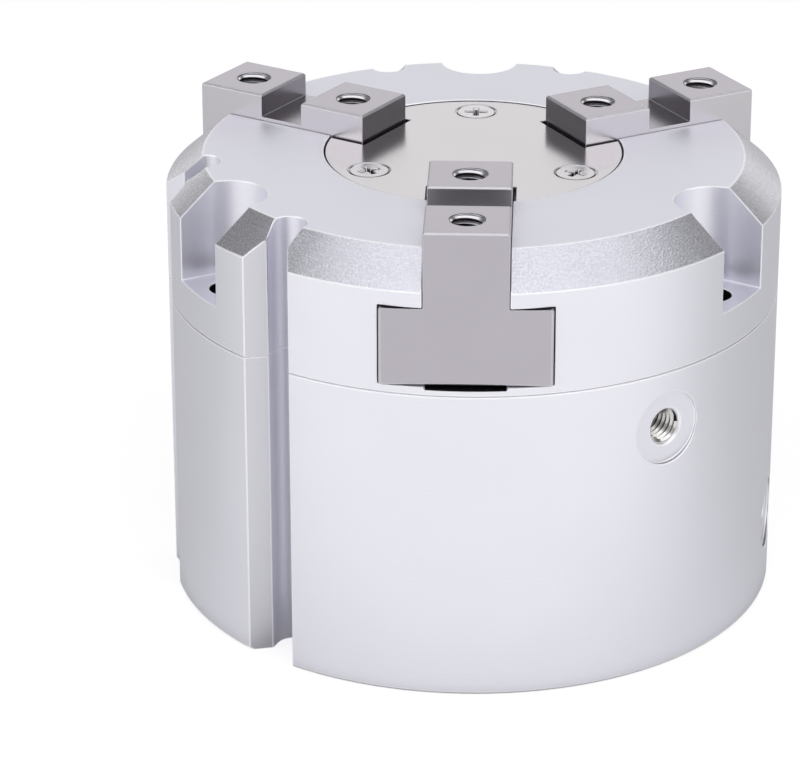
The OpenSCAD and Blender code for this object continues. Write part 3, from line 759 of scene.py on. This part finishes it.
BODY = anodised_aluminium("anodised_aluminium", (0.85, 0.845, 0.905))
MILLED = anodised_aluminium("milled_aluminium", (0.68, 0.675, 0.715))
BODY_BRIGHT = bright_edge()
JAW = ground_steel("ground_steel", (0.48, 0.453, 0.490))
FLANK = ground_steel("ground_flank", (0.57, 0.55, 0.575))
JAW_BRIGHT = steel_edge()
PLATE = brushed_plate()
SCREW = screw_steel()
BLACK = plain("black_oxide", (0.045, 0.045, 0.05), 0.9, 0.42)
RING = plain("spring_steel", (0.16, 0.15, 0.14), 0.9, 0.38)
RUBBER = plain("nitrile_rubber", (0.025, 0.025, 0.027), 0.0, 0.62)
STOP = plain("urethane_stop", (0.10, 0.09, 0.07), 0.0, 0.5)
BRONZE = plain("sintered_bronze", (0.50, 0.34, 0.20), 0.9, 0.45, 0.2, 0.008)
MAGNET = plain("bonded_magnet", (0.07, 0.07, 0.08), 0.2, 0.6)
WEAR = plain("wear_band", (0.45, 0.37, 0.24), 0.0, 0.5)
PIN = plain("ground_pin", (0.62, 0.61, 0.60), 1.0, 0.22, 0.15, 0.001)
# Near black paint that stands in for the shade inside holes and under the jaws' feet: painted shade
HOLE_SHADE = plain("deep_hole_shade", (0.05, 0.05, 0.055), 0.9, 0.35, 0.2, 0.002)
# Mid-dark paint that stands in for the shade on recessed walls: painted shade
RECESS = plain("recess_wall_shade", (0.29, 0.283, 0.30), 0.9, 0.40, 0.2, 0.002)
# Crests with painted shade deeper in: the jaws' holes along z, the ports along the radius
JAW_CREST = crests("steel_crests", (0.85, 0.83, 0.85), "z", jaw_high.z / MM, 2.6, 0.8)
BODY_CREST = crests("aluminium_crests", (0.70, 0.68, 0.66), "radius", body_r / MM, 7.0, 1.6)
TURNED = plain("turned_aluminium", (0.78, 0.78, 0.80), 0.9, 0.34, 0.15, 0.002)

FINISHES = {
    "anodised": (BODY, BODY_BRIGHT),
    "cap": (TURNED, BODY_BRIGHT),
    "piston_alloy": (TURNED, BODY_BRIGHT),
    "plate": (PLATE, JAW_BRIGHT),
    "small_screws": (SCREW, JAW_BRIGHT),
    "jaw_steel": (JAW, JAW_BRIGHT),
    "pin_steel": (PIN, PIN),
    "black_steel": (BLACK, BLACK),
    "spring_steel": (RING, RING),
    "bush": (BRONZE, BRONZE),
    "magnet": (MAGNET, MAGNET),
    "wear_band": (WEAR, WEAR),
    "rubber": (RUBBER, RUBBER),
    "stop_rubber": (STOP, STOP),
}

# ---------------------------------------------------------------- pieces

# Pieces remade from CAD nodes: new name, width of the rounding, and the least angle that gets it
REMADE = {
    "upper_body": ("guide_half", BODY_EDGE, SLIGHT),
    "lower_body": ("cylinder_half", BODY_EDGE, SLIGHT),
    "cover_plate": ("top_plate", FINE_EDGE, SHARP),
    "plate_screws": ("plate_screw_heads", FINE_EDGE, SHARP),
    "jaw_1": ("front_jaw", JAW_EDGE, SHARP),
    "jaw_2": ("right_jaw", JAW_EDGE, SHARP),
    "jaw_3": ("left_jaw", JAW_EDGE, SHARP),
    "end_cap": ("bottom_cap", BODY_EDGE, SHARP),
    "retaining_ring": ("snap_ring", FINE_EDGE, SHARP),
}

# Threaded holes of the pieces whose faces take different materials
HOLES = {
    "cover_plate": (),
    "upper_body": (),
    "lower_body": ("open_port", "close_port"),
    "jaw_1": ("jaw_1_inner_hole", "jaw_1_outer_hole"),
    "jaw_2": ("jaw_2_inner_hole", "jaw_2_outer_hole"),
    "jaw_3": ("jaw_3_inner_hole", "jaw_3_outer_hole"),
}

for node, (name, edge, sharp) in REMADE.items():
    piece = merged_copy(node, name)
    if node.endswith("body"):
        shape_grooves(piece)
    if node == "upper_body":
        close_slots(piece)
    if node == "cover_plate":
        free_plate(piece)
    if node == "plate_screws":
        shape_heads(piece)
    dress(piece, node, *FINISHES[slot_of[node]])
    if node in HOLES:
        crest = JAW_CREST if node.startswith("jaw") else BODY_CREST
        for hole in HOLES[node]:
            spread_hole(piece, mounts[hole], M5_R - 0.06 * MM)
            thread(hole + "_thread", mounts[hole], body_of[node], crest)
        mark_faces(piece, node)
    round_edges(piece, edge, sharp)

for node, part in frame["nodes"].items():
    if node not in REMADE:
        part.data.materials.clear()
        part.data.materials.append(FINISHES[slot_of[node]][0])

# ---------------------------------------------------------------- floor, world, lights


def softbox(name, place, aim, width, height, light, colour=(1, 1, 1)):
    """A rectangular lamp; light is how bright its face is, 1 for white."""
    lamp = bpy.data.lights.new(name, "AREA")
    lamp.shape = "RECTANGLE"
    lamp.size = width
    lamp.size_y = height
    lamp.energy = light * math.pi * width * height
    lamp.color = colour
    holder = bpy.data.objects.new(name, lamp)
    bpy.context.scene.collection.objects.link(holder)
    holder.location = place
    holder.rotation_euler = (Vector(aim) - Vector(place)).to_track_quat("-Z", "Y").to_euler()
    holder.visible_camera = False


def floor():
    """A white floor that keeps a faint shadow, and is brighter in front where metal shows it."""
    bpy.ops.object.select_all(action="DESELECT")
    bpy.ops.mesh.primitive_plane_add(size=6, location=(0, 0, 0))
    ground = bpy.context.object
    ground.name = "floor"
    material = bpy.data.materials.new("floor_white")
    material.use_nodes = True
    paint = Nodes(material.node_tree)
    paint.tree.nodes.clear()
    x, y = paint.place()[1:3]
    # Painted shadow: the glow that metal sees is cut away under the gripper's foot, so holes through
    # it stay dark
    open_floor = ((x * x + y * y) ** 0.5).between(body_r / MM - 1, body_r / MM + 3)
    in_front = 1.0 - y.between(-95.0, 10.0)

    def surface(shade, glow):
        """Matt paint of that shade that also glows."""
        matt = paint.add("ShaderNodeBsdfDiffuse", {}, {"Color": (shade, shade, shade, 1)})
        shine = paint.add("ShaderNodeEmission", {}, {"Strength": glow})
        return paint.add("ShaderNodeAddShader", {}, {0: matt, 1: shine})

    def seen_by(ray, others, this):
        """One surface for rays of a kind, and another for the rest."""
        path = paint.add("ShaderNodeLightPath", {}, {}, ray)
        return paint.add("ShaderNodeMixShader", {}, {0: path, 1: others, 2: this})

    lit = open_floor * (in_front * 0.41 + 0.15)
    in_metal = seen_by("Is Glossy Ray", surface(0.80, 0.0), surface(0.50, lit))
    in_view = seen_by("Is Camera Ray", in_metal, surface(0.35, 0.74))
    paint.add("ShaderNodeOutputMaterial", {}, {"Surface": in_view})
    ground.data.materials.append(material)


def sky():
    """Studio walls: white behind the gripper, mid grey before it and low at its sides."""
    world = bpy.data.worlds.new("studio")
    bpy.context.scene.world = world
    world.use_nodes = True
    paint = Nodes(world.node_tree)
    paint.tree.nodes.clear()
    x, y, z = paint.place()[1:]
    below_ceiling = 1.0 - z.between(620.0, 740.0)
    backdrop = y.between(680.0, 860.0) * below_ceiling
    front_wall = (0.0 - y).between(680.0, 860.0) * below_ceiling
    low_sides = abs(x).between(700.0, 900.0) * (1.0 - z.between(180.0, 360.0))
    walls = backdrop * 0.85 + front_wall * 0.30 + low_sides * 0.35 + 0.15
    path = paint.add("ShaderNodeLightPath", {}, {}, "Is Camera Ray")
    level = walls.maths("MAXIMUM", walls, path)
    white = paint.add("ShaderNodeBackground", {}, {"Color": (1, 1, 1, 1), "Strength": level})
    paint.add("ShaderNodeOutputWorld", {}, {"Surface": white})


def camera():
    """Looks down on the front jaw from a little to the right, with a long lens."""
    azimuth = math.radians(2.331)
    elevation = math.radians(23.653)
    roll = math.radians(-0.101)
    distance = 549.29 * MM
    aside = -10.334 * MM
    height = 26.301 * MM
    back = Vector((
        math.sin(azimuth) * math.cos(elevation),
        -math.cos(azimuth) * math.cos(elevation),
        math.sin(elevation),
    ))
    right = Vector((math.cos(azimuth), math.sin(azimuth), 0))
    up = back.cross(right)
    target = right * aside + Vector((0, 0, height))
    lens = bpy.data.cameras.new("camera")
    lens.lens = 172.3
    lens.sensor_width = 36
    lens.clip_start = 0.05
    lens.clip_end = 20
    holder = bpy.data.objects.new("camera", lens)
    bpy.context.scene.collection.objects.link(holder)
    x_axis = right * math.cos(roll) + up * math.sin(roll)
    y_axis = up * math.cos(roll) - right * math.sin(roll)
    turn = Matrix((x_axis, y_axis, back)).transposed().to_4x4()
    holder.matrix_world = Matrix.Translation(target + back * distance) @ turn
    bpy.context.scene.camera = holder


floor()
sky()
camera()
softbox("overhead", (0.06, -0.12, 0.80), (0.06, -0.12, 0), 1.2, 1.25, 0.93, (0.95, 0.96, 1.0))
softbox("front_top", (0.0, -0.80, 0.80), (0, -0.18, 0), 1.2, 0.7, 0.85)
softbox("right_box", (0.74, -0.50, 0.42), (0, 0, 0.06), 0.80, 0.55, 1.65)
softbox("left_box", (-0.76, -0.45, 0.42), (0, 0, 0.06), 0.80, 0.55, 1.65)

bpy.context.scene.view_settings.view_transform = "Standard"
